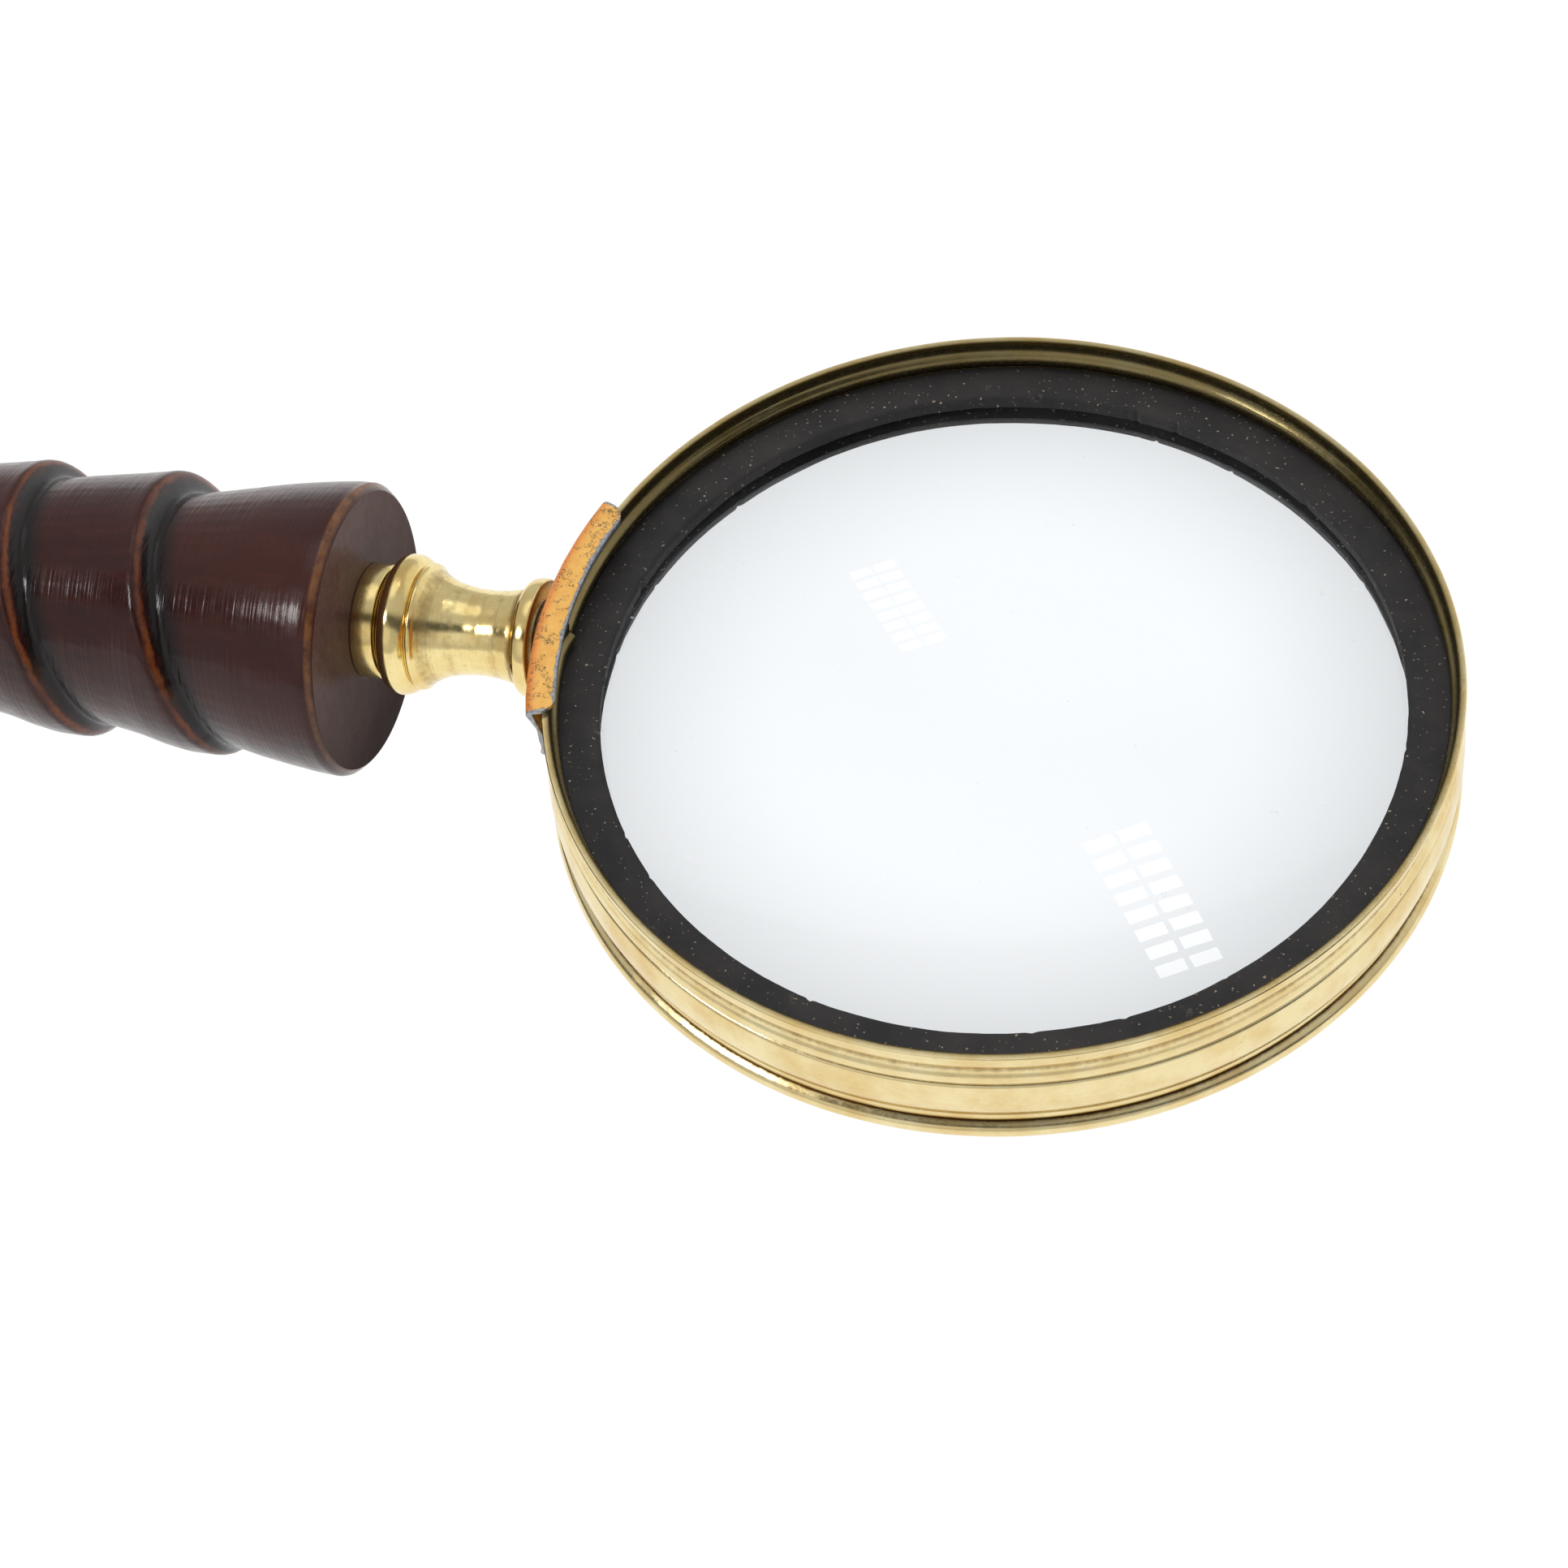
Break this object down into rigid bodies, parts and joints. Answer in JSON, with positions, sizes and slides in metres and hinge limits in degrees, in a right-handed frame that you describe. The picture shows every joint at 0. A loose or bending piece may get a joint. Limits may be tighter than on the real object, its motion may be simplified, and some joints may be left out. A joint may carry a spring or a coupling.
{
  "type": "magnifying glass",
  "caption": "Hand magnifying glass: biconvex lens between rubber gaskets in a split rolled-brass rim, sheet saddle clip, turned brass neck and flared ringed grip.",
  "frame": {"origin": "centre of the lens, on its optical axis", "axes": "+Z along the optical axis, towards the side the neck leans away from; the handle runs towards -X and leans 6 degrees towards -Z; Y across the handle"},
  "size_m": [0.2577, 0.1042, 0.0426],
  "materials": {
    "brass_rim": "satin, tarnished in the grooves",
    "brass_turned": "polished",
    "glass": "polished",
    "rubber": "matte",
    "lacquered_sheet": "gold lacquer over steel, chipped at the edges",
    "steel": "satin",
    "grip_wood": "glossy dark lacquer, worn on the lips"
  },
  "bodies": {
    "head": {"rim_band": "brass_rim", "lens": "glass", "upper_gasket": "rubber", "lower_gasket": "rubber", "saddle_clip": "lacquered_sheet", "clip_stud": "steel"},
    "front_washer": {"neck_washer": "steel"},
    "handle": {"neck": "brass_turned", "ferrule": "brass_turned", "grip": "grip_wood", "tie_rod": "steel"},
    "rear_washer": {"butt_washer": "steel"},
    "end_cap": {"butt_cap": "brass_turned"}
  },
  "joints": [
    {"name": "neck_advance", "type": "slide", "parent": "head", "child": "front_washer", "axis": [-0.9945, 0, -0.1045], "range_m": [0, 0.0032]},
    {"name": "handle_turn", "type": "hinge", "parent": "front_washer", "child": "handle", "pos_m": [-0.05455, 0, 0], "axis": [-0.9945, 0, -0.1045], "range_deg": [0, 1441]},
    {"name": "cap_advance", "type": "slide", "parent": "handle", "child": "rear_washer", "axis": [-0.9945, 0, -0.1045], "range_m": [0, 0.004]},
    {"name": "cap_turn", "type": "hinge", "parent": "rear_washer", "child": "end_cap", "pos_m": [-0.20531, 0, -0.01585], "axis": [-0.9945, 0, -0.1045], "range_deg": [0, 1441]}
  ],
  "couplings": [
    {"joint": "handle_turn", "follows": "neck_advance", "rad_per_m": 7854},
    {"joint": "cap_turn", "follows": "cap_advance", "rad_per_m": 6283.2}
  ]
}
